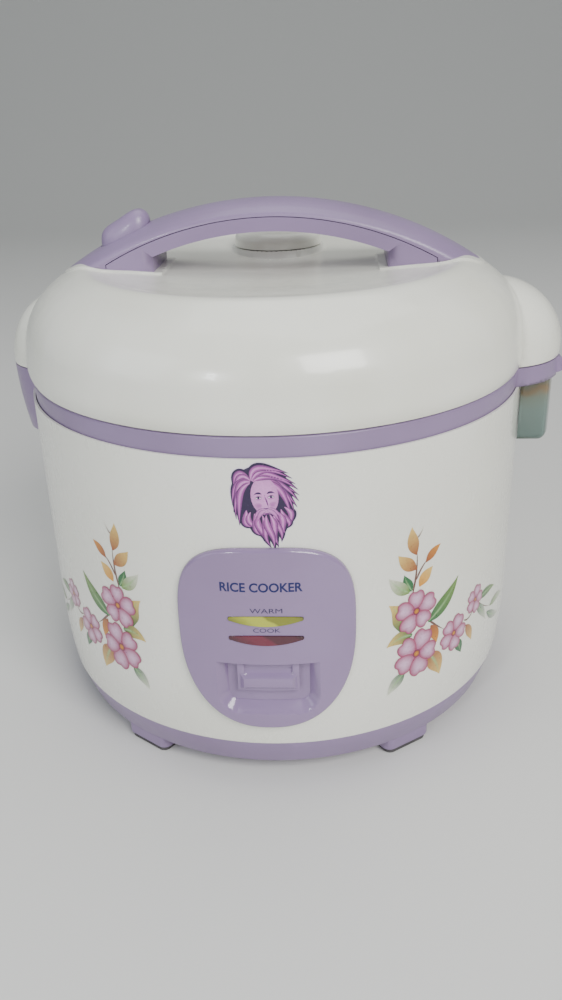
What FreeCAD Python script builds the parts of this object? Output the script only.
import FreeCAD, Part
import math
import os
from FreeCAD import Vector

# Jar rice cooker. Millimetres, +Z up. The control panel faces -Y, the lid's hinge is at +X and
# its latch at -X. Each piece is drawn about the body's axis with the feet at zero, then moved by
# CENTRE_X, so that the origin is at the middle of the cooker's footprint.

# body shell, base and rim
FOOT_TOP = 9.0
BASE_TOP = 26.0
BASE_FOOT_R = 127.7
SHELL_FOOT_R = 132.9
SHELL_R = 135.5
SHELL_T = 1.2
SHELL_TOP = 184.7
RIM_TOP = 194.7
RIM_R = 134.4
RIM_IN_R = 114.5
SEAM = 195.3
SHELL_BEND_Z = 70.0
SHELL_BEND_EXP = 2.2
PAN_FLOOR_T = 2.5
PAN_WALL_R = 131.3
PAN_WALL_IN_R = 129.3
PAN_COLLAR = 7.0
FOOT_TURN = 35
FOOT_IN_R = 106.0
FOOT_OUT_R = 127.0
FOOT_HALF = 15.0
FOOT_CORNER = 5.0
PAD_T = 3.0
PAD_INSET = 1.0
SLOT_IN_R = 62.0
SLOT_OUT_R = 84.0
SLOT_HALF = 2.0
SCREW_RING_R = 98.0
POST_R = 5.0
HEAD_HOLE_R = 4.0
SHANK_HOLE_R = 1.8
HEAD_R = 3.6
HEAD_T = 1.4
SHANK_R = 1.7
RIM_STEP = 0.6
RIM_SKIRT_T = 3.0
RIM_SKIRT_Z = 174.0
LEDGE_Z = 186.8
LEDGE_T = 2.0
RAIL_X0 = 137.5
RAIL_X1 = 147.0
RAIL_Z0 = 181.4
RAIL_Z1 = 186.0
RAIL_IN = 19.7
RAIL_OUT = 21.2
LIP_IN = 17.9
LIP_T = 1.0

# lid dome: a superellipse in section, and the shallow dish in its top
DOME_R = 136.0
DOME_Z = 198.9
DOME_H = 59.5
DOME_EXP_R = 2.89
DOME_EXP_Z = 2.97
LID_T = 2.4
CREASE_R = 102.0
DISH_FLOOR = 241.0

# hinge at +X and latch at -X
HINGE_X = 153.5
HINGE_Z = 190.5
KNUCKLE_R = 4.3
KNUCKLE_HALF = 19.0
LUG_HALF = 5.6
NOTCH_HALF = 9.0
HUMP_X = 120.0
HUMP_AX = 37.6
HUMP_AY = 41.0
HUMP_AZ = 34.8
HUMP_Z = 200.0
LATCH_X = -122.0
LATCH_AX = 27.0
LATCH_AY = 30.0
LATCH_UP = 33.7
LATCH_DOWN = 80.0
LATCH_Z = 197.0
LATCH_FOOT = 157.0
CENTRE_X = (HINGE_X + KNUCKLE_R + LATCH_X - LATCH_AX) / 2
CUP_AX = 35.0
CUP_AY = 34.0
CUP_HALF = 17.4
CUP_FOOT = 145.5
CUP_TOP = 184.2
HOOK_PIVOT_X = -116.0
HOOK_PIVOT_Z = 226.0
HOOK_ARM_X = -82.0
HOOK_ARM_Z = 236.0
HOOK_X = -128.25
HOOK_NOSE_X = -124.6
HOOK_T = 3.0
HOOK_HALF = 6.5
HOOK_ELBOW_Z = 205.0
HOOK_HEEL_Z = 186.0
HOOK_BOSS_R = 4.0
HOUSING_T = 2.2
PIN_R = 1.5
PIN_BORE_R = 1.55
HINGE_BORE_R = 2.0

# handle arch along X
HANDLE_HALF = 21.0
HANDLE_TIP = 112.0
HANDLE_TOP_Z = 278.8
HANDLE_TOP_R = 200.0
HANDLE_CROWN = 6.0
HANDLE_SPLIT_Z = 271.5
HANDLE_SPLIT_R = 179.4
HANDLE_UNDER_Z = 264.1
HANDLE_UNDER_R = 170.0
HANDLE_FOOT_IN = 61.5
HANDLE_COVER_X = 87.0
COVER_T = 2.4
SPLIT_GAP = 0.4
SEAT_RISE = 0.8
BUTTON_X = -78.7
BUTTON_HALF_X = 13.4
BUTTON_HALF_Y = 9.9
BUTTON_FOOT = 254.5
SLOT_GAP = 0.45

# steam cap in the lid, behind the handle
VENT_Y = 55.0
VENT_HOLE_R = 23.6
CAP_R = 25.6
CAP_FOOT = 246.0
CAP_TOP = 257.5

# control panel on the front of the shell
PANEL_R = 138.5
PANEL_BACK_R = 131.0
PANEL_HALF = 43.0
PANEL_MID_Z = 96.0
PANEL_UP = 45.2
PANEL_DOWN = 56.5
PANEL_EXP_UP = 3.3
PANEL_EXP_DOWN = 2.4
BODY_SHARE = 0.92
WINDOW_SHARE = 0.94
RECESS_HALF = 20.4
RECESS_LOW = 53.6
RECESS_SLOPE = 5.2
RECESS_CORNER = 5.0
RECESS_TOP = 78.6
RECESS_R = 133.0
PADDLE_HALF = 15.2
PADDLE_LOW = 61.6
PADDLE_TOP = 78.2
PADDLE_TRAVEL = 5.0
PADDLE_R = 136.2
PAD_R = 138.2
STEM_LOW = 70.6
STEM_TOP = 77.4
STEM_HALF = 5.0
STEM_FRONT_Y = -134.5
LEG_HALF = 4.0
LEG_FRONT_Y = -124.0
LEG_BACK_Y = -118.0
FORK_HALF_Z = 4.5
FORK_GAP_Z = 2.2
PANEL_EDGE = 2.2
LENS_HALF = 18.0
GREEN_MID = 103.5
RED_MID = 92.8
LENS_H = 5.4
LENS_UP = 0.45
LENS_DOWN = 0.55
LENS_END_UP = 0.32
LENS_END_DOWN = 0.05
LENS_CORNER = 1.2
BOARD_HALF = 22.0
BOARD_LOW = 86.0
BOARD_HIGH = 112.0
BOARD_Y = -127.0
BOARD_T = 1.5
LAMP_R = 1.2
LAMP_HALF = 8.0
PANEL_SCREW_X = 26.0
PANEL_SCREW_Z = 96.0

# cooking chamber, pot, heater and thermostat
POT_R = 106.2
POT_T = 1.2
POT_FOOT = 52.0
POT_TOP = 190.5
POT_RIM_R = 113.4
POT_CORNER = 22.0
CHAMBER_R = 111.6
CHAMBER_T = 1.0
CHAMBER_FOOT = 35.0
PLATE_R = 82.0
PLATE_TOP = 51.7
PLATE_FOOT = 44.0
PLATE_BORE_R = 17.5
ELEMENT_R = 60.0
SLEEVE_R = 9.0
SLEEVE_BORE = 7.5
MAGNET_R = 7.0
MAGNET_FOOT = 34.1
MAGNET_TOP = 41.4
LEVER_PIVOT_Y = -42.0
LEVER_FRONT_Y = -121.0
LEVER_Z = 27.75
LEVER_T = 1.5
PIN_CLEAR = 0.06
LEAD_Y = 114.3
LEVER_HALF = 4.0
CHEEK_IN = 4.6
CHEEK_OUT = 6.6
CHEEK_HALF_Y = 5.0
CHEEK_LOW = 24.0
BRIDGE_Z = 33.2
BAND_T = 2.0
BAND_Z0 = 84.0
BAND_Z1 = 118.0
CHAMBER_LIP_R = 117.5
CHAMBER_LIP_Z = 185.4
SPREADER_Z = 36.2
PLATE_LEG_R = 71.0
ELEMENT_TUBE_R = 3.6
ELEMENT_PIN_X = 14.0
FUSE_R = 2.2
FUSE_Y = 40.0
FUSE_Z = 32.7
BLOCK_TOP = 24.0
LEAD_R = 1.2

# power inlet in the rear wall
INLET_HALF = 17.0
INLET_LOW = 39.0
INLET_HIGH = 61.0
INLET_GAP = 0.6
SOCKET_HALF = 14.5
SOCKET_LOW = 41.5
SOCKET_HIGH = 58.5
FLANGE_HALF = 22.0
FLANGE_LOW = 34.0
FLANGE_HIGH = 66.0
FLANGE_Y = 141.0
EARTH_Z = 54.0
LINE_Z = 49.0
LINE_X = 6.5

# room for blocks that cut or trim
FRONT_FAR = -150.0
FRONT_NEAR = -100.0
BAND_LOW = 20.0
BAND_HIGH = 160.0
SIDE_ROOM = 50.0
ARCH_ROOM = 40.0
ARCH_LOW = 200.0
ARCH_HIGH = 300.0

AXIS_Z = Vector(0, 0, 1)


def save(node, shape):
    """Write one node's solids to its STEP file."""
    shape.translate(Vector(-CENTRE_X, 0, 0))
    solids = shape.Solids
    if not shape.isValid():
        print("not valid:", node)
    out = solids[0] if len(solids) == 1 else Part.makeCompound(solids)
    out.exportStep("parts/" + node + ".step")
    print(node, len(solids), round(shape.Volume, 1))


def box(x0, x1, y0, y1, z0, z1):
    """Box between two corners."""
    return Part.makeBox(x1 - x0, y1 - y0, z1 - z0, Vector(x0, y0, z0))


def side_box(side, x0, x1, y0, y1, z0, z1):
    """Box on the +Y or the -Y side."""
    return box(x0, x1, min(side * y0, side * y1), max(side * y0, side * y1), z0, z1)


def disc(radius, z0, z1, x=0.0, y=0.0):
    """Upright cylinder between two heights."""
    return Part.makeCylinder(radius, z1 - z0, Vector(x, y, z0), AXIS_Z)


def tube(r_out, r_in, z0, z1, x=0.0, y=0.0):
    """Upright tube between two heights."""
    return disc(r_out, z0, z1, x, y).cut(disc(r_in, z0 - 1, z1 + 1, x, y))


def rod_y(radius, y0, y1, x, z):
    """Cylinder along Y."""
    return Part.makeCylinder(radius, y1 - y0, Vector(x, y0, z), Vector(0, 1, 0))


def rod_x(radius, x0, x1, y, z):
    """Cylinder along X."""
    return Part.makeCylinder(radius, x1 - x0, Vector(x0, y, z), Vector(1, 0, 0))


def turned(outline, x=0.0, y=0.0):
    """Solid of revolution about an upright axis from (radius, height) corners."""
    corners = [Vector(x + r, y, z) for r, z in outline]
    wire = Part.makePolygon(corners + [corners[0]])
    return Part.Face(wire).revolve(Vector(x, y, 0), AXIS_Z, 360)


def spline(points, closed=False):
    """Smooth edge through points."""
    curve = Part.BSplineCurve()
    curve.interpolate(points, PeriodicFlag=closed)
    return curve.toShape()


def prism(points, direction):
    """Straight-sided solid from flat corners and an extrusion vector."""
    wire = Part.makePolygon(points + [points[0]])
    return Part.Face(wire).extrude(direction)


def rounded_prism(x, half_x, half_y, power, z0, z1):
    """Upright prism on a superellipse."""
    points = []
    for k in range(32):
        c = math.cos(2 * math.pi * k / 32)
        s = math.sin(2 * math.pi * k / 32)
        reach = (abs(c) ** power + abs(s) ** power) ** (-1 / power)
        points.append(Vector(x + half_x * reach * c, half_y * reach * s, z0))
    return Part.Face(Part.Wire([spline(points, True)])).extrude(Vector(0, 0, z1 - z0))


def side_prism(outline, half):
    """Prism across Y from (x, z) corners, centred on the XZ plane."""
    return prism([Vector(x, -half, z) for x, z in outline], Vector(0, 2 * half, 0))


def ellipsoid(x, z, ax, ay, az):
    """Ellipsoid centred on the XZ plane."""
    ball = Part.makeSphere(1.0)
    scale = FreeCAD.Matrix()
    scale.scale(Vector(ax, ay, az))
    ball = ball.transformGeometry(scale)
    ball.translate(Vector(x, 0, z))
    return ball


def bar(x0, z0, x1, z1, thick, half):
    """Flat bar across Y between two points of the XZ plane, with round ends."""
    length = math.hypot(x1 - x0, z1 - z0)
    nx = -(z1 - z0) / length * thick / 2
    nz = (x1 - x0) / length * thick / 2
    outline = [(x0 + nx, z0 + nz), (x1 + nx, z1 + nz), (x1 - nx, z1 - nz), (x0 - nx, z0 - nz)]
    solid = side_prism(outline, half)
    for x, z in ((x0, z0), (x1, z1)):
        solid = solid.fuse(rod_y(thick / 2, -half, half, x, z))
    return solid.removeSplitter()


def coil(radius, wire_r, z0, z1, turns, x=0.0, y=0.0):
    """Upright compression spring of round wire between two heights."""
    height = z1 - z0 - 2 * wire_r
    helix = Part.makeHelix(height / turns, height, radius)
    section = Part.Wire(Part.makeCircle(wire_r, Vector(radius, 0, 0), Vector(0, 1, 0)))
    solid = Part.Wire(helix.Edges).makePipeShell([section], True, True)
    solid.translate(Vector(x, y, z0 + wire_r))
    return solid


def softened(shape, radius, wanted):
    """Round the edges that a test on the edge picks out."""
    edges = [edge for edge in shape.Edges if wanted(edge)]
    return shape.makeFillet(radius, edges)


# ---------------------------------------------------------------- body

def shell_radius(z):
    """Outer radius of the painted shell: straight, then curving in below 70 mm."""
    drop = max(0.0, SHELL_BEND_Z - z) / (SHELL_BEND_Z - BASE_TOP)
    return SHELL_R - (SHELL_R - SHELL_FOOT_R) * drop ** SHELL_BEND_EXP


def outer_shell():
    """Painted wrap of the body, with the opening behind the control panel."""
    steps = 5
    heights = [BASE_TOP + (SHELL_BEND_Z - BASE_TOP) * k / steps for k in range(steps + 1)]
    outer = [Vector(shell_radius(z), 0, z) for z in heights]
    inner = [Vector(shell_radius(z) - SHELL_T, 0, z) for z in reversed(heights)]
    edges = [spline(outer)]
    top = [Vector(SHELL_R, 0, SHELL_TOP), Vector(SHELL_R - SHELL_T, 0, SHELL_TOP)]
    edges += Part.makePolygon([outer[-1]] + top + [inner[0]]).Edges
    edges += [spline(inner), Part.makeLine(inner[-1], outer[0])]
    shell = Part.Face(Part.Wire(edges)).revolve(Vector(0, 0, 0), AXIS_Z, 360)
    window = panel_prism(WINDOW_SHARE, FRONT_FAR, FRONT_NEAR)
    half = INLET_HALF + INLET_GAP
    near, far = SHELL_R - SIDE_ROOM / 2, SHELL_R + SIDE_ROOM
    inlet = box(-half, half, near, far, INLET_LOW - INLET_GAP, INLET_HIGH + INLET_GAP)
    return shell.cut(window).cut(inlet)


def base_pan():
    """Moulded base: sloping wall, floor with air slots, four foot bosses and screw posts."""
    floor = FOOT_TOP + PAN_FLOOR_T
    pan = turned([(0, FOOT_TOP), (BASE_FOOT_R - 1.5, FOOT_TOP), (BASE_FOOT_R, FOOT_TOP + 1.5),
                  (SHELL_FOOT_R, BASE_TOP), (PAN_WALL_R, BASE_TOP), (PAN_WALL_R, BASE_TOP + PAN_COLLAR),
                  (PAN_WALL_IN_R, BASE_TOP + PAN_COLLAR), (PAN_WALL_IN_R, BASE_TOP - 2),
                  (BASE_FOOT_R - 2.2, floor), (0, floor)])
    for turn in foot_angles():
        pan = pan.fuse(foot_block(turn, FOOT_IN_R, FOOT_OUT_R, FOOT_HALF, FOOT_CORNER, PAD_T, FOOT_TOP + 1))
    for turn in range(0, 360, 30):
        pan = pan.cut(turned_box(turn, SLOT_IN_R, SLOT_OUT_R, SLOT_HALF, 0, floor + 1))
    for turn in foot_angles():
        pan = pan.fuse(polar_disc(turn, SCREW_RING_R, POST_R, floor - 0.1, CHAMBER_FOOT - 0.2))
        pan = pan.cut(polar_disc(turn, SCREW_RING_R, HEAD_HOLE_R, 0, FOOT_TOP + HEAD_T))
        pan = pan.cut(polar_disc(turn, SCREW_RING_R, SHANK_HOLE_R, 0, CHAMBER_FOOT + 1))
    return pan


def foot_angles():
    """Feet stand 35 degrees either side of the front and of the rear."""
    return [side + turn for side in (-90, 90) for turn in (-FOOT_TURN, FOOT_TURN)]


def turned_box(turn, r0, r1, half, z0, z1):
    """Box that lies along a radius, turned about the axis."""
    block = box(r0, r1, -half, half, z0, z1)
    block.rotate(Vector(0, 0, 0), AXIS_Z, turn)
    return block


def polar_disc(turn, radius, r, z0, z1):
    """Upright cylinder at a polar place."""
    angle = math.radians(turn)
    return disc(r, z0, z1, radius * math.cos(angle), radius * math.sin(angle))


def foot_block(turn, r0, r1, half, corner, z0, z1):
    """Block along a radius with rounded upright corners and a softened foot."""
    block = box(r0, r1, -half, half, z0, z1)
    block = softened(block, corner, lambda edge: abs(edge.BoundBox.ZLength - (z1 - z0)) < 1e-6)
    block = softened(block, 1.0, lambda edge: edge.BoundBox.ZMax < z0 + 1e-6)
    block.rotate(Vector(0, 0, 0), AXIS_Z, turn)
    return block


def rubber_feet():
    """Four pads under the foot bosses."""
    r_in, r_out, half = FOOT_IN_R + PAD_INSET, FOOT_OUT_R - PAD_INSET, FOOT_HALF - 1.5 * PAD_INSET
    pads = [foot_block(turn, r_in, r_out, half, FOOT_CORNER - PAD_INSET, 0, PAD_T) for turn in foot_angles()]
    return Part.makeCompound(pads)


def base_screws():
    """Four screws that hold the base to the chamber."""
    screws = []
    for turn in foot_angles():
        head = polar_disc(turn, SCREW_RING_R, HEAD_R, FOOT_TOP - 0.4, FOOT_TOP + HEAD_T)
        shank = polar_disc(turn, SCREW_RING_R, SHANK_R, FOOT_TOP + HEAD_T - 0.1, CHAMBER_FOOT - 0.5)
        screws.append(head.fuse(shank))
    return Part.makeCompound(screws)


def rim_ring():
    """Top collar of the body, with the hinge bracket and the latch catch housing."""
    ring = turned([(RIM_R - RIM_STEP, SHELL_TOP + 0.2), (RIM_R, RIM_TOP - 1.2), (RIM_R - 1.0, RIM_TOP),
                   (RIM_IN_R, RIM_TOP - 1.5), (RIM_IN_R, LEDGE_Z), (RIM_IN_R + LEDGE_T, LEDGE_Z),
                   (RIM_IN_R + LEDGE_T, RIM_TOP - 4.0), (RIM_R - RIM_SKIRT_T, RIM_TOP - 2.7),
                   (RIM_R - RIM_SKIRT_T, RIM_SKIRT_Z), (RIM_R - RIM_STEP, RIM_SKIRT_Z)])
    ring = ring.fuse(hinge_bracket()).fuse(latch_housing())
    for side in (-1, 1):
        rail = side_box(side, RAIL_X0, RAIL_X1, RAIL_IN, RAIL_OUT, RAIL_Z0, RAIL_Z1)
        lip = side_box(side, RAIL_X0, RAIL_X1, LIP_IN, RAIL_OUT, RAIL_Z0, RAIL_Z0 + LIP_T)
        ring = ring.fuse(rail).fuse(lip)
    slot = box(-136.2, -124.0, -9, 9, 182.5, 200)
    notch = box(HINGE_X - 5.0, 170, -NOTCH_HALF, NOTCH_HALF, 180, 200)
    bore = rod_y(HINGE_BORE_R, 1.5 - KNUCKLE_HALF, KNUCKLE_HALF + 4, HINGE_X, HINGE_Z)
    return ring.cut(slot).cut(notch).cut(bore)


def hinge_bracket():
    """Bracket under the lid's hinge hump: a half ellipse in plan, with a knuckle along its edge."""
    plan = rounded_prism(HUMP_X, HUMP_AX, HUMP_AY, 2.0, SHELL_TOP + 0.2, RIM_TOP)
    block = plan.common(box(100, HINGE_X, -SIDE_ROOM, SIDE_ROOM, 150, 230)).cut(disc(RIM_R - 0.8, 150, 230))
    knuckle = rod_y(KNUCKLE_R, -KNUCKLE_HALF, KNUCKLE_HALF, HINGE_X, HINGE_Z)
    ends = rounded_prism(HUMP_X, HUMP_AX + 3, HUMP_AY + 3, 2.0, 150, 230)
    return block.fuse(knuckle.common(ends))


def latch_housing():
    """Hollow catch housing below the latch, closed on top round the hook's slot."""
    outer = ellipsoid(LATCH_X, LATCH_Z, LATCH_AX, LATCH_AY, LATCH_DOWN)
    outer = outer.common(box(-160, -100, -SIDE_ROOM, SIDE_ROOM, LATCH_FOOT, RIM_TOP))
    wall = HOUSING_T
    inner = ellipsoid(LATCH_X, LATCH_Z, LATCH_AX - wall, LATCH_AY - wall, LATCH_DOWN - wall)
    inner = inner.common(box(-160, -100, -SIDE_ROOM, SIDE_ROOM, LATCH_FOOT + wall, RIM_TOP - wall))
    housing = outer.cut(inner)
    housing = housing.cut(disc(RIM_R - 0.5, SHELL_TOP, 230))
    return housing.cut(disc(SHELL_R + 0.2, 100, SHELL_TOP + 0.2))


def hinge_pin():
    """Steel pin of the lid's hinge, pressed in from the rear end of the knuckle."""
    return rod_y(HINGE_BORE_R - PIN_CLEAR, 2 - KNUCKLE_HALF, KNUCKLE_HALF - 1, HINGE_X, HINGE_Z)


# ---------------------------------------------------------------- control panel

def panel_prism(scale, y0, y1):
    """Panel outline across Y: two half superellipses, flatter above and rounder below."""
    points = []
    steps = 16
    for k in range(2 * steps):
        angle = math.pi * k / steps
        c, s = math.cos(angle), math.sin(angle)
        power = PANEL_EXP_UP if s >= 0 else PANEL_EXP_DOWN
        height = PANEL_UP if s >= 0 else PANEL_DOWN
        reach = (abs(c) ** power + abs(s) ** power) ** (-1 / power)
        points.append(Vector(scale * PANEL_HALF * reach * c, y0, PANEL_MID_Z + scale * height * reach * s))
    wire = Part.Wire([spline(points, True)])
    return Part.Face(wire).extrude(Vector(0, y1 - y0, 0))


def shell_band(r_in, r_out, z0, z1):
    """Part of a tube about the body's axis."""
    return tube(r_out, r_in, z0, z1)


def control_panel():
    """Raised panel: rim on the shell, body through it, recess for the paddle and two windows."""
    plate = shell_band(SHELL_R + 0.15, PANEL_R, BAND_LOW, BAND_HIGH)
    core = shell_band(PANEL_BACK_R, SHELL_R + 0.4, BAND_LOW, BAND_HIGH)
    rim = panel_prism(1.0, FRONT_FAR, FRONT_NEAR).common(plate)
    rim = softened(rim, PANEL_EDGE, lambda edge: on_radius(edge, PANEL_R))
    body = panel_prism(BODY_SHARE, FRONT_FAR, FRONT_NEAR).common(core)
    panel = rim.fuse(body)
    recess = box(-RECESS_HALF, RECESS_HALF, FRONT_FAR, FRONT_NEAR, RECESS_LOW, RECESS_TOP)
    recess = softened(recess, RECESS_CORNER,
                      lambda edge: edge.BoundBox.YLength > 49 and edge.BoundBox.ZMax < RECESS_LOW + 1)
    panel = panel.cut(recess.common(shell_band(RECESS_R, 145, BAND_LOW, BAND_HIGH)))
    panel = panel.makeChamfer(RECESS_SLOPE, [edge for edge in panel.Edges if recess_edge(edge)])
    half = STEM_HALF + 0.6
    low = STEM_LOW - PADDLE_TRAVEL - 0.6
    panel = panel.cut(box(-half, half, FRONT_FAR, FRONT_NEAR, low, STEM_TOP + 0.5))
    for middle in (GREEN_MID, RED_MID):
        panel = panel.cut(lens_prism(middle, 0.15).common(shell_band(120, 145, BAND_LOW, BAND_HIGH)))
    return panel.cut(panel_screws())


def on_radius(edge, radius):
    """True when every sampled point of an edge lies at this radius."""
    first, last = edge.ParameterRange
    for k in range(5):
        point = edge.valueAt(first + (last - first) * (k + 0.5) / 5)
        if abs(math.hypot(point.x, point.y) - radius) > 0.05:
            return False
    return True


def recess_edge(edge):
    """The recess's outer border on the panel's face, but for its top edge."""
    inside = edge.BoundBox.XMax < RECESS_HALF + 0.1 and edge.BoundBox.XMin > -RECESS_HALF - 0.1
    level = RECESS_LOW - 0.1 < edge.BoundBox.ZMin < RECESS_TOP - 1
    return inside and level and edge.BoundBox.ZMax < RECESS_TOP + 0.1 and on_radius(edge, PANEL_R)


def lens_prism(middle, grow):
    """Lens outline across Y: nearly flat top, bowed bottom, narrow round ends."""
    half = LENS_HALF + grow
    top = middle + LENS_H * LENS_UP + grow
    low = middle - LENS_H * LENS_DOWN - grow
    end_top = middle + LENS_H * LENS_END_UP + grow
    end_low = middle - LENS_H * LENS_END_DOWN - grow
    y = FRONT_FAR
    flat = half - LENS_CORNER
    upper = Part.Arc(Vector(flat, y, end_top), Vector(0, y, top), Vector(-flat, y, end_top))
    left = Part.Arc(Vector(-flat, y, end_top), Vector(-half, y, (end_top + end_low) / 2),
                    Vector(-flat, y, end_low))
    lower = Part.Arc(Vector(-flat, y, end_low), Vector(0, y, low), Vector(flat, y, end_low))
    right = Part.Arc(Vector(flat, y, end_low), Vector(half, y, (end_top + end_low) / 2),
                     Vector(flat, y, end_top))
    wire = Part.Wire([arc.toShape() for arc in (upper, left, lower, right)])
    return Part.Face(wire).extrude(Vector(0, 50, 0))


def lens(middle):
    """Clear lens that fills its window and stands just proud of it."""
    return lens_prism(middle, 0).common(shell_band(PANEL_BACK_R, PANEL_R + 0.5, BAND_LOW, BAND_HIGH))


def cook_switch():
    """Paddle that slides down in the recess, with a stem and a fork for the switch lever."""
    plate = box(-PADDLE_HALF, PADDLE_HALF, FRONT_FAR, FRONT_NEAR, PADDLE_LOW, PADDLE_TOP)
    plate = plate.common(shell_band(RECESS_R + 0.35, PADDLE_R, BAND_LOW, BAND_HIGH))
    scoop = rod_x(6.5, -PADDLE_HALF + 3.4, PADDLE_HALF - 3.4, -PADDLE_R - 4.6, PADDLE_TOP - 3.4)
    paddle = plate.cut(scoop).fuse(raised_pad())
    stem = box(-STEM_HALF, STEM_HALF, STEM_FRONT_Y, LEG_BACK_Y - 1, STEM_LOW, STEM_TOP)
    leg = box(-LEG_HALF, LEG_HALF, LEG_FRONT_Y, LEG_BACK_Y, LEVER_Z - FORK_HALF_Z + 0.05, STEM_TOP)
    fork = box(-STEM_HALF, STEM_HALF, LEG_FRONT_Y, LEG_BACK_Y + 4, LEVER_Z - FORK_HALF_Z, LEVER_Z + FORK_HALF_Z)
    low, top = LEVER_Z - FORK_GAP_Z, LEVER_Z + FORK_GAP_Z
    gap = box(-2 * STEM_HALF, 2 * STEM_HALF, LEG_FRONT_Y + 2.2, LEG_BACK_Y + 8, low, top)
    return paddle.fuse(stem).fuse(leg).fuse(fork).cut(gap).removeSplitter()


def raised_pad():
    """Bevelled pad on the lower half of the paddle."""
    wires = []
    for y, inset in ((1.2 - PADDLE_R, 0.5), (-PAD_R, 3.4)):
        half = PADDLE_HALF - inset
        low = PADDLE_LOW + inset
        top = PADDLE_LOW + 10.6 - inset * 0.7
        corners = [Vector(-half, y, low), Vector(half, y, low), Vector(half, y, top), Vector(-half, y, top)]
        wires.append(Part.makePolygon(corners + [corners[0]]))
    return Part.makeLoft(wires, True, True)


def lamp_board():
    """Small circuit board behind the lenses with its two neon lamps."""
    board = box(-BOARD_HALF, BOARD_HALF, BOARD_Y - BOARD_T, BOARD_Y, BOARD_LOW, BOARD_HIGH)
    for middle in (GREEN_MID, RED_MID):
        board = board.fuse(rod_x(LAMP_R, -LAMP_HALF, LAMP_HALF, BOARD_Y - 2 * LAMP_R, middle - 0.3))
    return board


def panel_screws():
    """Two screws from the inside into the panel's back."""
    screws = []
    for x in (-PANEL_SCREW_X, PANEL_SCREW_X):
        head = Part.makeCylinder(3.0, 1.6, Vector(x, -125.4, PANEL_SCREW_Z), Vector(0, 1, 0))
        shank = Part.makeCylinder(1.4, 4.2, Vector(x, -125.2, PANEL_SCREW_Z), Vector(0, -1, 0))
        screws.append(head.fuse(shank))
    return Part.makeCompound(screws)


# ---------------------------------------------------------------- chamber, heater, pot

def inner_chamber():
    """Sheet metal cup that the pot sits in, with a flange under the rim ring."""
    cup = turned([(30, CHAMBER_FOOT), (CHAMBER_R, CHAMBER_FOOT), (CHAMBER_R, CHAMBER_LIP_Z),
                  (CHAMBER_LIP_R, CHAMBER_LIP_Z),
                  (CHAMBER_LIP_R, CHAMBER_LIP_Z + 1), (CHAMBER_R - CHAMBER_T, CHAMBER_LIP_Z + 1),
                  (CHAMBER_R - CHAMBER_T, SPREADER_Z),
                  (30, SPREADER_Z)])
    for turn in foot_angles():
        cup = cup.cut(polar_disc(turn, SCREW_RING_R, SHANK_HOLE_R, CHAMBER_FOOT - 1, SPREADER_Z + 1))
    for x, y in element_pins():
        cup = cup.cut(disc(2.5, 30, 40, x, y))
    return cup


def keep_warm_heater():
    """Band heater clipped round the chamber."""
    gap = box(CHAMBER_R - 10, CHAMBER_R + 10, -LEVER_HALF, LEVER_HALF, BAND_Z0 - 2, BAND_Z1 + 2)
    return tube(CHAMBER_R + BAND_T, CHAMBER_R, BAND_Z0, BAND_Z1).cut(gap)


def heating_plate():
    """Cast plate under the pot, on three legs."""
    plate = turned([(PLATE_BORE_R, PLATE_FOOT), (PLATE_R - 3, PLATE_FOOT), (PLATE_R, PLATE_FOOT + 3),
                    (PLATE_R, PLATE_TOP - 2.5), (PLATE_R - 2.5, PLATE_TOP), (PLATE_BORE_R + 1, PLATE_TOP),
                    (PLATE_BORE_R, PLATE_TOP - 1)])
    for turn in (30, 150, 270):
        plate = plate.fuse(polar_disc(turn, PLATE_LEG_R, 4.0, SPREADER_Z, PLATE_FOOT + 1))
    return plate


def element_pins():
    """Places of the element's two terminal pins, near its open ends."""
    return [(x, math.sqrt(ELEMENT_R ** 2 - x ** 2)) for x in (-ELEMENT_PIN_X, ELEMENT_PIN_X)]


def heating_element():
    """Tubular element under the plate, open at the rear, with two terminal pins."""
    ring = Part.makeTorus(ELEMENT_R, ELEMENT_TUBE_R, Vector(0, 0, PLATE_FOOT - ELEMENT_TUBE_R - 0.1), AXIS_Z)
    ring = ring.cut(turned_box(90, 40, 80, 9, 30, 50))
    for x, y in element_pins():
        ring = ring.fuse(disc(1.5, 30.5, PLATE_FOOT - 4, x, y))
    return ring


def pot_bend(radius, floor, corner):
    """Quarter round between the pot's floor and its wall."""
    rise = corner * (1 - math.sqrt(0.5))
    bend = Part.Arc(Vector(radius - corner, 0, floor), Vector(radius - rise, 0, floor + rise),
                    Vector(radius, 0, floor + corner))
    return bend.toShape()


def inner_pot():
    """Drawn aluminium pot: flat floor, round corner, straight wall and turned-out rim."""
    wall_in = POT_R - POT_T
    outer = pot_bend(POT_R, POT_FOOT, POT_CORNER)
    inner = pot_bend(wall_in, POT_FOOT + POT_T, POT_CORNER - POT_T)
    wall = Part.makePolygon([Vector(POT_R, 0, POT_FOOT + POT_CORNER), Vector(POT_R, 0, POT_TOP - POT_T),
                             Vector(POT_RIM_R, 0, POT_TOP - POT_T), Vector(POT_RIM_R, 0, POT_TOP),
                             Vector(wall_in, 0, POT_TOP), Vector(wall_in, 0, POT_FOOT + POT_CORNER)])
    floor = Part.makePolygon([Vector(POT_R - POT_CORNER, 0, POT_FOOT + POT_T), Vector(0, 0, POT_FOOT + POT_T),
                              Vector(0, 0, POT_FOOT), Vector(POT_R - POT_CORNER, 0, POT_FOOT)])
    wire = Part.Wire([outer] + wall.Edges + [inner] + floor.Edges)
    return Part.Face(wire).revolve(Vector(0, 0, 0), AXIS_Z, 360)


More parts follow.
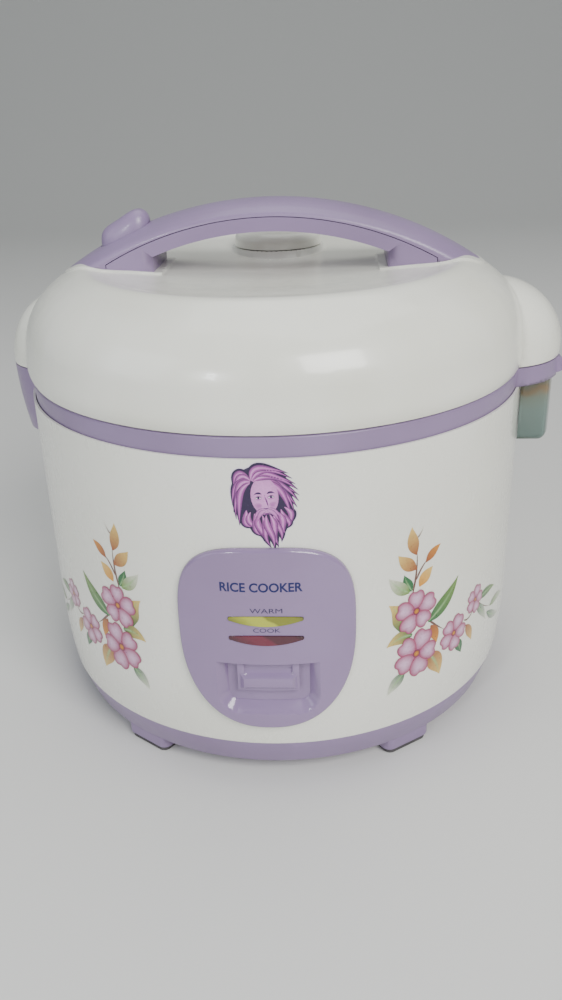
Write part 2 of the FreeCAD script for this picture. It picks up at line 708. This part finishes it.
def thermostat_sleeve():
    """Fixed guide tube of the thermostat, on a flange under the chamber."""
    return turned([(SLEEVE_BORE, 33.8), (34, 33.8), (34, CHAMBER_FOOT), (SLEEVE_R, CHAMBER_FOOT),
                   (SLEEVE_R, 44.5), (SLEEVE_BORE, 44.5)])


def sensor_cap():
    """Spring-loaded cap that touches the pot's floor, with the ferrite under its top."""
    return turned([(0, 46.5), (MAGNET_R, 46.5), (MAGNET_R, 50.2), (13.6, 50.2), (13.6, 40.5),
                   (14.8, 40.5), (14.8, 50.9), (14.0, 51.6), (0, 51.6)])


def magnet_rod():
    """Magnet on a rod with two collars, which the switch lever lifts."""
    return turned([(0, 24.4), (5, 24.4), (5, 25.8), (2, 25.8), (2, 29.7), (5, 29.7), (5, 31.1),
                   (2, 31.1), (2, MAGNET_FOOT), (MAGNET_R, MAGNET_FOOT), (MAGNET_R, MAGNET_TOP),
                   (0, MAGNET_TOP)])


def switch_lever():
    """Rocking lever between the paddle's fork and the magnet's rod."""
    low = LEVER_Z - LEVER_T / 2
    top = LEVER_Z + LEVER_T / 2
    strip = box(-LEVER_HALF, LEVER_HALF, LEVER_FRONT_Y, 5, low, top)
    strip = strip.fuse(rod_x(3.2, -LEVER_HALF, LEVER_HALF, LEVER_PIVOT_Y, LEVER_Z))
    strip = strip.cut(rod_x(PIN_R + PIN_CLEAR, -5, 5, LEVER_PIVOT_Y, LEVER_Z))
    return strip.cut(box(-2.8, 2.8, -3.2, 10, low - 1, top + 1))


def lever_bracket():
    """Bracket under the chamber that carries the lever's pin."""
    front, back = LEVER_PIVOT_Y - CHEEK_HALF_Y, LEVER_PIVOT_Y + CHEEK_HALF_Y
    cheeks = box(CHEEK_IN, CHEEK_OUT, front, back, CHEEK_LOW, CHAMBER_FOOT)
    cheeks = cheeks.fuse(box(-CHEEK_OUT, -CHEEK_IN, front, back, CHEEK_LOW, CHAMBER_FOOT))
    bridge = box(-CHEEK_OUT, CHEEK_OUT, front, back, BRIDGE_Z, CHAMBER_FOOT)
    return cheeks.fuse(bridge).cut(rod_x(PIN_BORE_R, -8, 8, LEVER_PIVOT_Y, LEVER_Z)).removeSplitter()


def lever_pin():
    """Pivot pin of the switch lever."""
    return rod_x(PIN_R, -7.5, 7.5, LEVER_PIVOT_Y, LEVER_Z)


def microswitch():
    """Snap switch under the front arm of the lever."""
    body = box(-3.5, 3.5, -86, -66, FOOT_TOP + PAN_FLOOR_T, 19.5)
    return body.fuse(box(-1.5, 1.5, -73, -69.5, 19.4, 22.0))


def thermal_fuse():
    """One-shot fuse in its sleeve on the chamber's underside."""
    fuse = rod_x(FUSE_R, -44, -20, FUSE_Y, FUSE_Z)
    return fuse.fuse(rod_x(0.6, -50, -14, FUSE_Y, FUSE_Z))


def terminal_block():
    """Ceramic terminal block on the base's floor."""
    block = box(26, 62, 44, 58, FOOT_TOP + PAN_FLOOR_T, BLOCK_TOP)
    for x in (32, 44, 56):
        block = block.cut(disc(3.0, 19, 30, x, 51))
    return block


def power_inlet():
    """Mains inlet for a plug-on lead: a square socket through the rear of the shell."""
    flange = box(-FLANGE_HALF, FLANGE_HALF, 120, FLANGE_Y, FLANGE_LOW, FLANGE_HIGH)
    flange = softened(flange, 3.0, lambda edge: edge.BoundBox.YLength > 20)
    flange = flange.cut(disc(SHELL_R + 0.15, 20, 80))
    body = box(-INLET_HALF, INLET_HALF, 116, FLANGE_Y - 1, INLET_LOW, INLET_HIGH)
    inlet = flange.fuse(body)
    socket = box(-SOCKET_HALF, SOCKET_HALF, 119, FLANGE_Y + 4, SOCKET_LOW, SOCKET_HIGH)
    return inlet.cut(socket).cut(inlet_pins()).removeSplitter()


def inlet_pins():
    """Two contact pins and the earth contact in the inlet."""
    places = ((-LINE_X, LINE_Z, 136), (LINE_X, LINE_Z, 136), (0, EARTH_Z, 133))
    return Part.makeCompound([rod_y(2.0, 112.6, front, x, z) for x, z, front in places])


def wiring():
    """Insulated leads from the inlet's pins under the chamber to the terminal block."""
    leads = []
    for pin_x, pin_z, x in ((-LINE_X, LINE_Z, 32), (0, EARTH_Z, 44), (LINE_X, LINE_Z, 56)):
        start = Vector(pin_x, LEAD_Y, pin_z - 2.1)
        points = [start, Vector(pin_x, LEAD_Y, 38), Vector(pin_x + 1, LEAD_Y - 0.4, 31),
                  Vector(pin_x * 0.4 + x * 0.3, 104, 26.5), Vector(x * 0.6, 88, 26), Vector(x * 0.9, 66, 26.5),
                  Vector(x, 54, 27), Vector(x, 51, 20.5)]
        path = spline(points)
        section = Part.Wire(Part.makeCircle(LEAD_R, start, path.tangentAt(path.ParameterRange[0])))
        leads.append(Part.Wire([path]).makePipeShell([section], True, False))
    return Part.makeCompound(leads)


# ---------------------------------------------------------------- lid

def dome_height(r, inset=0.0):
    """Height of the dome's superellipse at a radius."""
    share = min(1.0, r / (DOME_R - inset))
    return DOME_Z + (DOME_H - inset) * (1 - share ** DOME_EXP_R) ** (1 / DOME_EXP_Z)


def dish_height(r):
    """Height of the shallow dish inside the crease: a flat middle that climbs outwards."""
    share = r / CREASE_R
    return DISH_FLOOR + (dome_height(CREASE_R) - 0.6 - DISH_FLOOR) * share ** 1.7


def lid_section(inset):
    """Edges of half the dome's section, from the seam up to the axis."""
    radii = [135.6, 134.6, 132.5, 129.0, 124.0, 117.0, 110.5]
    side = [Vector(DOME_R - 1.4 - inset, 0, SEAM), Vector(DOME_R - inset, 0, DOME_Z)]
    side += [Vector(r - inset, 0, dome_height(r - inset, inset)) for r in radii]
    side.append(Vector(CREASE_R - inset / 2, 0, dish_height(CREASE_R) - inset + 0.3))
    side += [Vector(r, 0, dish_height(r) - inset) for r in (94.0, 80.0, 60.0, 40.0, 20.0, 0.0)]
    return spline(side)


def plain_dome(inset):
    """Filled dome without the hinge and latch humps, inset from the outer face."""
    curve = lid_section(inset)
    start = curve.valueAt(curve.FirstParameter)
    end = curve.valueAt(curve.LastParameter)
    base = Part.makePolygon([end, Vector(0, 0, SEAM), start])
    return Part.Face(Part.Wire([curve] + base.Edges)).revolve(Vector(0, 0, 0), AXIS_Z, 360)


def raised_dome():
    """Filled dome lifted by the height of the handle's seats."""
    solid = plain_dome(0.0)
    solid.translate(Vector(0, 0, SEAT_RISE))
    return solid


def dome_solid(inset, foot):
    """Filled dome with both humps, inset from the outer face, cut level at its foot."""
    hump = ellipsoid(HUMP_X, HUMP_Z, HUMP_AX - inset, HUMP_AY - inset, HUMP_AZ - inset)
    latch = ellipsoid(LATCH_X, LATCH_Z, LATCH_AX - inset, LATCH_AY - inset, LATCH_UP - inset)
    solid = plain_dome(inset).fuse(hump).fuse(latch)
    solid = solid.common(box(-170, 170, -150, 150, SEAM, 300))
    return solid.fuse(disc(DOME_R - 1.4 - inset, foot, SEAM)) if foot < SEAM else solid


def lid_shell():
    """Cream outer cover of the lid, with handle seats, vent collar and passages."""
    outer = dome_solid(0.0, SEAM)
    for side in (-1, 1):
        seat = handle_plan(2.2).common(raised_dome())
        seat = seat.common(box(min(side * 57, side * 115), max(side * 57, side * 118), -30, 30, 230, 262))
        outer = outer.fuse(seat)
    outer = outer.fuse(disc(CAP_R + 1.2, 232, CAP_FOOT - 0.6, 0, VENT_Y))
    shell = outer.cut(dome_solid(LID_T, SEAM - 1))
    shell = shell.cut(disc(CAP_R + 3, 200, 232.5, 0, VENT_Y))
    shell = shell.cut(disc(VENT_HOLE_R, 220, 300, 0, VENT_Y))
    shell = shell.cut(box(-88.5, -77.5, -5.5, 5.5, 225, 270))
    for x, y in screw_places():
        shell = shell.cut(disc(1.7, 225, 260, x, y))
    return largest(shell)


def largest(shape):
    """The biggest solid of a shape that a cut may have left in several."""
    return max(shape.Solids, key=lambda solid: solid.Volume)


def handle_plan(grow):
    """Upright prism with the handle's outline seen from above, grown by a margin."""
    half = HANDLE_HALF + grow
    bend = HANDLE_TIP - HANDLE_HALF
    plan = box(-bend, bend, -half, half, 200, 320)
    return plan.fuse(disc(half, 200, 320, -bend)).fuse(disc(half, 200, 320, bend)).removeSplitter()


def crowned_arch(inset):
    """Arched bar with a crowned top, swept about a low axis along Y."""
    centre = HANDLE_TOP_Z - HANDLE_TOP_R
    half = HANDLE_HALF + 3 - inset
    edge_drop = HANDLE_CROWN * (half / HANDLE_HALF) ** 2
    crown = Part.Arc(Vector(0, -half, HANDLE_TOP_Z - edge_drop - inset), Vector(0, 0, HANDLE_TOP_Z - inset),
                     Vector(0, half, HANDLE_TOP_Z - edge_drop - inset)).toShape()
    sides = Part.makePolygon([Vector(0, half, HANDLE_TOP_Z - edge_drop - inset), Vector(0, half, 215),
                              Vector(0, -half, 215), Vector(0, -half, HANDLE_TOP_Z - edge_drop - inset)])
    face = Part.Face(Part.Wire([crown] + sides.Edges))
    face.rotate(Vector(0, 0, centre), Vector(0, 1, 0), -48)
    return face.revolve(Vector(0, 0, centre), Vector(0, 1, 0), 96)


def handle_body():
    """The whole handle as one block, rounded, standing on the lid."""
    block = crowned_arch(0).common(handle_plan(0))
    block = softened(block, 3.5, crown_edge)
    under = rod_y(HANDLE_UNDER_R, -ARCH_ROOM, ARCH_ROOM, 0, HANDLE_UNDER_Z - HANDLE_UNDER_R)
    span = box(-HANDLE_FOOT_IN, HANDLE_FOOT_IN, -ARCH_ROOM, ARCH_ROOM, ARCH_LOW, ARCH_HIGH)
    block = block.cut(under.common(span))
    return block.cut(raised_dome())


def crown_edge(edge):
    """Edges where the crowned top meets the handle's upright sides and round ends."""
    box_z = edge.BoundBox
    middle = edge.valueAt((edge.FirstParameter + edge.LastParameter) / 2)
    centre = HANDLE_TOP_Z - HANDLE_TOP_R
    reach = math.hypot(middle.x, middle.z - centre)
    return reach > HANDLE_TOP_R - HANDLE_CROWN - 3 and box_z.XLength > 5


def handle_hollow():
    """Space inside the handle, open to the lid at both feet."""
    hollow = crowned_arch(COVER_T).common(handle_plan(-COVER_T))
    under = rod_y(HANDLE_UNDER_R + COVER_T, -ARCH_ROOM, ARCH_ROOM, 0, HANDLE_UNDER_Z - HANDLE_UNDER_R)
    inner = HANDLE_FOOT_IN + COVER_T
    return hollow.cut(under.common(box(-inner, inner, -ARCH_ROOM, ARCH_ROOM, ARCH_LOW, ARCH_HIGH)))


def under_split(gap):
    """Space below the line where the two handle covers meet."""
    drum = rod_y(HANDLE_SPLIT_R - gap, -ARCH_ROOM, ARCH_ROOM, 0, HANDLE_SPLIT_Z - HANDLE_SPLIT_R)
    reach = HANDLE_COVER_X - gap
    return drum.common(box(-reach, reach, -ARCH_ROOM, ARCH_ROOM, ARCH_LOW, ARCH_HIGH))


def handle_top():
    """Upper cover of the handle, which wraps down to the lid at both ends."""
    cover = handle_body().cut(under_split(0)).cut(handle_hollow())
    slot = rounded_prism(BUTTON_X, BUTTON_HALF_X + SLOT_GAP, BUTTON_HALF_Y + SLOT_GAP, 3.0, 250, 290)
    return largest(cover.cut(slot))


def handle_lower():
    """Lower cover of the handle, with its feet and screw bosses."""
    block = handle_body().common(under_split(SPLIT_GAP))
    cover = block.cut(handle_hollow())
    for x, y in screw_places():
        cover = cover.fuse(disc(3.6, 230, 300, x, y).common(block))
        cover = cover.cut(disc(1.55, 225, 256, x, y))
    return largest(cover)


def screw_places():
    """The handle's four screws."""
    return [(x, y) for x in (-70.0, 70.0) for y in (-12.0, 12.0)]


def handle_screws():
    """Four screws from inside the lid up into the lower cover's bosses."""
    screws = []
    for x, y in screw_places():
        seat = dish_height(math.hypot(x, y)) - LID_T - 0.5
        screws.append(disc(3.2, seat - 2, seat, x, y).fuse(disc(1.45, seat - 0.2, 255, x, y)))
    return Part.makeCompound(screws)


def button_section(share, top):
    """Cross-section of the button at a share of its half length: a rounded slab with a flat foot."""
    half = BUTTON_HALF_Y * (1 - abs(share) ** 3) ** (1 / 3)
    x = BUTTON_X + BUTTON_HALF_X * share
    points = []
    for degrees in (0, 12, 30, 50, 70, 90, 110, 130, 150, 168, 180):
        c = math.cos(math.radians(degrees))
        s = math.sin(math.radians(degrees))
        reach = (abs(c) ** 3 + abs(s) ** 3) ** (-1 / 3)
        points.append(Vector(x, half * reach * c, BUTTON_FOOT + (top - BUTTON_FOOT) * reach * s))
    foot = Part.makeLine(points[-1], points[0])
    return Part.Wire([spline(points), foot])


def release_button():
    """Button on the handle's latch end, with the stem that presses the hook's arm."""
    tops = ((-0.985, 260.6), (-0.9, 263.8), (-0.65, 266.6), (-0.2, 270.0), (0.25, 273.4), (0.6, 274.4),
            (0.85, 272.9), (0.985, 269.6))
    cap = Part.makeLoft([button_section(share, top) for share, top in tops], True, False)
    stem = box(-84.5, -80.5, -3, 3, HOOK_ARM_Z + 1.9, 256)
    return cap.fuse(stem).removeSplitter()


def latch_hook():
    """Bent lever: arm under the button, hub on its pin, and the hook that hangs to the catch."""
    hook = bar(HOOK_ARM_X, HOOK_ARM_Z, HOOK_PIVOT_X, HOOK_PIVOT_Z, HOOK_T, HOOK_HALF)
    hook = hook.fuse(bar(HOOK_PIVOT_X, HOOK_PIVOT_Z, HOOK_X, HOOK_ELBOW_Z, HOOK_T, HOOK_HALF))
    hook = hook.fuse(bar(HOOK_X, HOOK_ELBOW_Z, HOOK_X, HOOK_HEEL_Z, HOOK_T, HOOK_HALF))
    low, top = HOOK_HEEL_Z - HOOK_T / 2, HOOK_HEEL_Z + HOOK_T / 2
    hook = hook.fuse(box(HOOK_X, HOOK_NOSE_X, -HOOK_HALF, HOOK_HALF, low, top))
    hook = hook.fuse(rod_y(HOOK_BOSS_R, -HOOK_HALF, HOOK_HALF, HOOK_PIVOT_X, HOOK_PIVOT_Z))
    return hook.cut(rod_y(PIN_R + PIN_CLEAR, -8, 8, HOOK_PIVOT_X, HOOK_PIVOT_Z)).removeSplitter()


def latch_pin():
    """Pin of the latch hook."""
    return rod_y(PIN_R, -11, 11, HOOK_PIVOT_X, HOOK_PIVOT_Z)


def latch_spring():
    """Spring under the hook's arm that returns the hook and the button."""
    return coil(3.4, 0.5, 198.5, 231.6, 7, -86)


def lid_liner():
    """Inner frame of the lid: floor plate, hinge lug and latch posts."""
    plate = disc(131.4, 196.0, 198.4)
    wing = ellipsoid(HUMP_X, 0, HUMP_AX - 3, HUMP_AY - 3, 400)
    wing = wing.common(box(90, 160, -SIDE_ROOM, SIDE_ROOM, 196.0, 198.4))
    plate = plate.fuse(wing)
    lug = rod_y(KNUCKLE_R, -LUG_HALF, LUG_HALF, HINGE_X, HINGE_Z)
    lug = lug.fuse(box(HINGE_X - KNUCKLE_R, HINGE_X + 1.0, -LUG_HALF, LUG_HALF, HINGE_Z, 198.4))
    lug = lug.cut(rod_y(HINGE_BORE_R, -NOTCH_HALF, NOTCH_HALF, HINGE_X, HINGE_Z))
    plate = plate.fuse(lug)
    for side in (-1, 1):
        post = box(HOOK_PIVOT_X - 4, HOOK_PIVOT_X + 4, min(side * 7.2, side * 9.6), max(side * 7.2, side * 9.6),
                   198, HOOK_PIVOT_Z + 4)
        plate = plate.fuse(post)
    plate = plate.cut(rod_y(PIN_BORE_R, -12, 12, HOOK_PIVOT_X, HOOK_PIVOT_Z))
    plate = plate.cut(box(-140, -121, -8, 8, 190, 200))
    plate = plate.cut(disc(6.8, 190, 200, 0, VENT_Y))
    plate = plate.cut(disc(2.1, 190, 200))
    return plate.removeSplitter()


def vent_well():
    """Cup in the lid that holds the steam cap, with a spout down through the frame."""
    return turned([(5.0, 193.2), (6.5, 193.2), (6.5, 212), (23.3, 212), (23.3, 242.6), (21.7, 242.6),
                   (21.7, 213.8), (5.0, 213.8)], 0, VENT_Y)


def steam_cap():
    """Lift-off steam cap: crowned top over a skirt that plugs into the well."""
    crown = Part.Arc(Vector(0, VENT_Y, CAP_TOP), Vector(12, VENT_Y, CAP_TOP - 0.8),
                     Vector(21.5, VENT_Y, CAP_TOP - 3)).toShape()
    shoulder = Part.Arc(Vector(21.5, VENT_Y, CAP_TOP - 3), Vector(24.8, VENT_Y, CAP_TOP - 5.6),
                        Vector(CAP_R, VENT_Y, CAP_TOP - 9)).toShape()
    rest = Part.makePolygon([Vector(CAP_R, VENT_Y, CAP_TOP - 9), Vector(CAP_R, VENT_Y, CAP_FOOT),
                             Vector(CAP_R - 2, VENT_Y, CAP_FOOT), Vector(CAP_R - 2, VENT_Y, CAP_TOP - 8),
                             Vector(20.5, VENT_Y, CAP_TOP - 5.5), Vector(20.5, VENT_Y, 226),
                             Vector(18.9, VENT_Y, 226), Vector(18.9, VENT_Y, CAP_TOP - 4.6),
                             Vector(0, VENT_Y, CAP_TOP - 2.2), Vector(0, VENT_Y, CAP_TOP)])
    face = Part.Face(Part.Wire([crown, shoulder] + rest.Edges))
    cap = face.revolve(Vector(0, VENT_Y, 0), AXIS_Z, 360)
    for y in (-8.5, 0.0, 8.5):
        cap = cap.cut(box(-8, 8, VENT_Y + y - 1.3, VENT_Y + y + 1.3, 248, 262))
    return cap


def vent_seal():
    """Rubber ring on the cap's skirt."""
    return tube(21.3, 20.5, 230, 234, 0, VENT_Y)


def inner_lid():
    """Removable aluminium inner lid with steam holes."""
    plate = turned([(4.4, 191.5), (60, 191.5), (64, 190.0), (90, 190.0), (94, 191.5), (107, 191.5),
                    (107, 192.5), (93.6, 192.5), (89.6, 191.0), (64.4, 191.0), (60.4, 192.5), (4.4, 192.5)])
    for turn in (60, 90, 120):
        plate = plate.cut(polar_disc(turn, 45, 2.5, 185, 196))
    return plate


def lid_gasket():
    """Silicone seal round the inner lid, over the pot's rim."""
    return turned([(107, 191.0), (112.6, 191.0), (112.6, 193.8), (110.5, 193.8), (109.5, 192.2),
                   (107, 192.2)])


def lid_knob():
    """Rubber knob that holds the inner lid to the frame."""
    return turned([(0, 187.5), (8, 187.5), (9, 188.5), (9, 191.3), (4.2, 191.3), (4.2, 192.8), (5.6, 192.8),
                   (5.6, 195.9), (1.9, 195.9), (1.9, 199.4), (0, 199.4)])


def lid_spring():
    """Torsion spring on the hinge pin that helps the lid up."""
    rings = []
    for side in (-1, 1):
        for k in range(2):
            rings.append(tube_y(3.9, 2.7, side * (LUG_HALF + 0.9 + 1.3 * k), HINGE_X, HINGE_Z))
    return Part.makeCompound(rings)


def tube_y(r_out, r_in, y, x, z):
    """One round-wire turn about an axis along Y."""
    wire_r = (r_out - r_in) / 2
    return Part.makeTorus((r_out + r_in) / 2, wire_r, Vector(x, y, z), Vector(0, 1, 0))


def collector_body(inset, foot, top):
    """Dew collector's outline in plan, between two heights, with round upright corners."""
    half = CUP_HALF - inset
    solid = rounded_prism(HUMP_X, CUP_AX - inset, CUP_AY - inset, 2.0, foot, top)
    solid = solid.common(box(100, 170, -half, half, foot, top)).cut(disc(SHELL_R + 1.2 + inset, 100, 240))
    return softened(solid, 5.0 - inset, lambda edge: edge.BoundBox.XMin > 145 and edge.BoundBox.ZLength > 20
                    and edge.BoundBox.YLength < 1e-6)


def dew_collector():
    """Clear cup under the hinge bracket, hung on two rails."""
    cup = collector_body(0, CUP_FOOT, CUP_TOP)
    cup = softened(cup, 4.5, lambda edge: edge.BoundBox.ZMax < CUP_FOOT + 0.1 and edge.BoundBox.XMax > 139)
    cup = cup.cut(collector_body(1.6, CUP_FOOT + 2, 190))
    for side in (-1, 1):
        cup = cup.fuse(box(138.5, 146.5, min(side * 17, side * 19.3), max(side * 17, side * 19.3),
                           CUP_TOP - 1.5, CUP_TOP))
    return cup.removeSplitter()


def sensor_spring():
    """Spring that holds the sensor cap up."""
    return coil(11.4, 0.8, CHAMBER_FOOT + 0.1, 50.1, 4)


PIECES = {
    "outer_shell": outer_shell,
    "base_pan": base_pan,
    "rubber_feet": rubber_feet,
    "base_screws": base_screws,
    "rim_ring": rim_ring,
    "hinge_pin": hinge_pin,
    "lid_spring": lid_spring,
    "inner_chamber": inner_chamber,
    "keep_warm_heater": keep_warm_heater,
    "heating_plate": heating_plate,
    "heating_element": heating_element,
    "thermostat_sleeve": thermostat_sleeve,
    "sensor_spring": sensor_spring,
    "sensor_cap": sensor_cap,
    "magnet_rod": magnet_rod,
    "switch_lever": switch_lever,
    "lever_bracket": lever_bracket,
    "lever_pin": lever_pin,
    "microswitch": microswitch,
    "thermal_fuse": thermal_fuse,
    "terminal_block": terminal_block,
    "wiring": wiring,
    "power_inlet": power_inlet,
    "inlet_pins": inlet_pins,
    "control_panel": control_panel,
    "green_lens": lambda: lens(GREEN_MID),
    "red_lens": lambda: lens(RED_MID),
    "lamp_board": lamp_board,
    "panel_screws": panel_screws,
    "cook_switch": cook_switch,
    "inner_pot": inner_pot,
    "lid_shell": lid_shell,
    "lid_liner": lid_liner,
    "inner_lid": inner_lid,
    "lid_gasket": lid_gasket,
    "lid_knob": lid_knob,
    "vent_well": vent_well,
    "steam_cap": steam_cap,
    "vent_seal": vent_seal,
    "handle_top": handle_top,
    "handle_lower": handle_lower,
    "handle_screws": handle_screws,
    "release_button": release_button,
    "latch_hook": latch_hook,
    "latch_pin": latch_pin,
    "latch_spring": latch_spring,
    "dew_collector": dew_collector,
}

os.makedirs("parts", exist_ok=True)
for node, make in PIECES.items():
    save(node, make())
